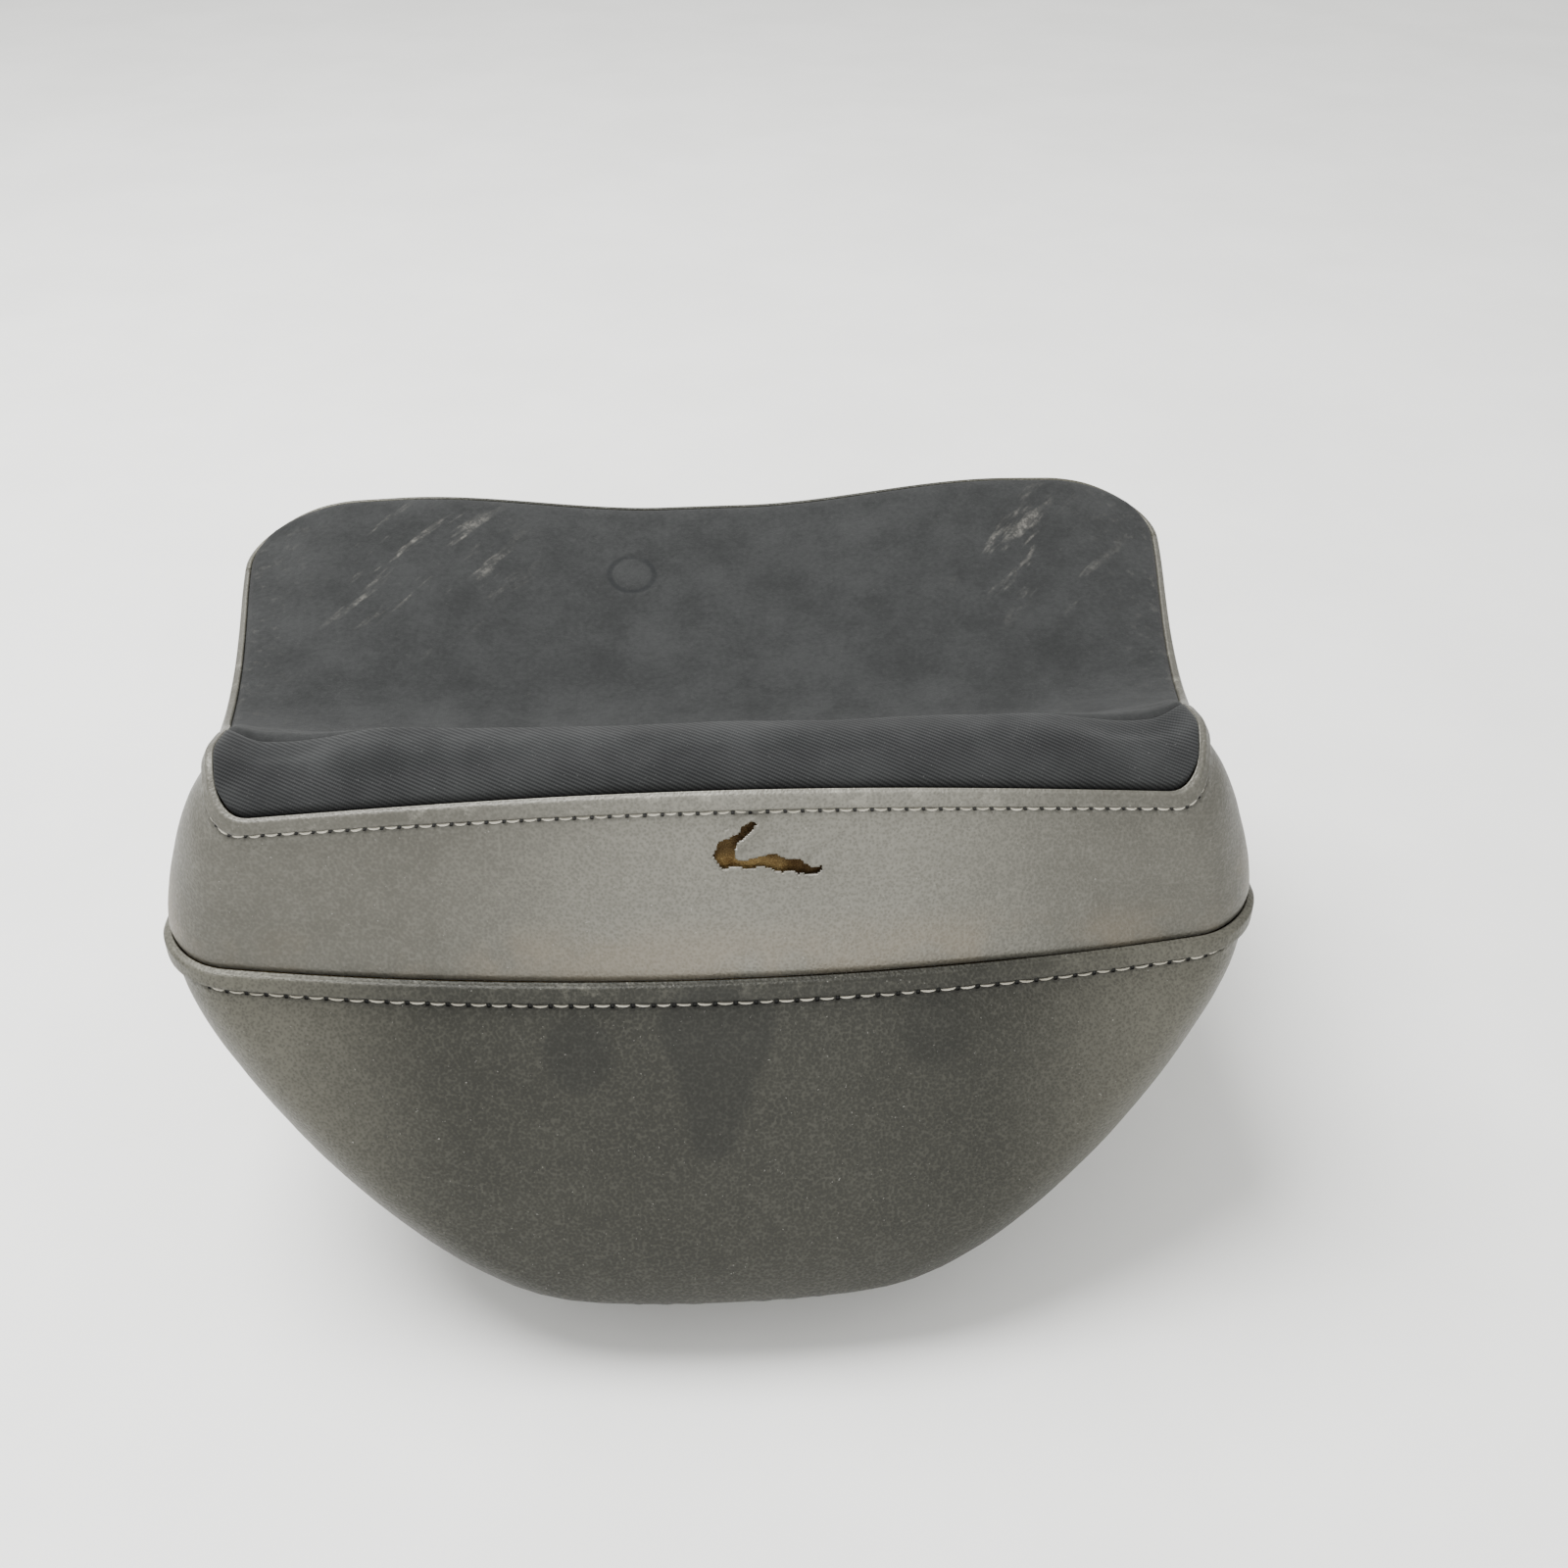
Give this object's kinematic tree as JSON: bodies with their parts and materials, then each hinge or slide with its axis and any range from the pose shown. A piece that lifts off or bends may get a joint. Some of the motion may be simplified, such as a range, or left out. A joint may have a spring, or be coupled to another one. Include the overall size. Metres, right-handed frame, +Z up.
{
  "type": "motorcycle seat",
  "caption": "Deep motorcycle pillion seat with a dished fabric deck, raised front roll and stitched vinyl sides, hinged at the front and held by a rear striker loop.",
  "frame": {"origin": "middle of the seat's footprint on the mounting plane that the rubber bumpers and the hinge leaf stand on", "axes": "+Z up through the deck, -Y out of the seat's front face, X along the hinge pin"},
  "size_m": [0.376, 0.2879, 0.216],
  "materials": {
    "deck_fabric": "charcoal suede-like seat fabric",
    "strip_fabric": "fine diagonal twill",
    "band_vinyl": "silver-grey pebbled vinyl, slightly metallic",
    "skirt_vinyl": "darker grey pebbled vinyl",
    "foam": "moulded polyurethane foam",
    "pan_plastic": "moulded polypropylene",
    "rubber": "moulded rubber",
    "black_steel": "black powder coat",
    "zinc_steel": "zinc plated",
    "brass": "machined",
    "bush_plastic": "natural nylon"
  },
  "bodies": {
    "hinge_base": {"hinge_frame_bracket": "black_steel", "hinge_pin": "zinc_steel", "hinge_washer": "zinc_steel", "hinge_clip": "zinc_steel"},
    "seat": {"deck_panel": "deck_fabric", "roll_strip": "strip_fabric", "front_band": "band_vinyl", "front_skirt": "skirt_vinyl", "side_band_left": "band_vinyl", "side_band_right": "band_vinyl", "side_skirt_left": "skirt_vinyl", "side_skirt_right": "skirt_vinyl", "rear_panel": "skirt_vinyl", "foam_core": "foam", "base_pan": "pan_plastic", "cover_staples": "zinc_steel", "bumper_front_left": "rubber", "bumper_front_right": "rubber", "bumper_rear_left": "rubber", "bumper_rear_right": "rubber", "hinge_seat_bracket": "black_steel", "hinge_bushes": "bush_plastic", "hinge_screws": "zinc_steel", "hinge_inserts": "brass", "striker_plate": "black_steel", "striker_bar": "zinc_steel", "striker_screws": "zinc_steel", "striker_inserts": "brass"}
  },
  "joints": [
    {"name": "seat_hinge", "type": "hinge", "parent": "hinge_base", "child": "seat", "pos_m": [0, -0.104, 0.012], "axis": [1, 0, 0], "range_deg": [0, 40]}
  ]
}
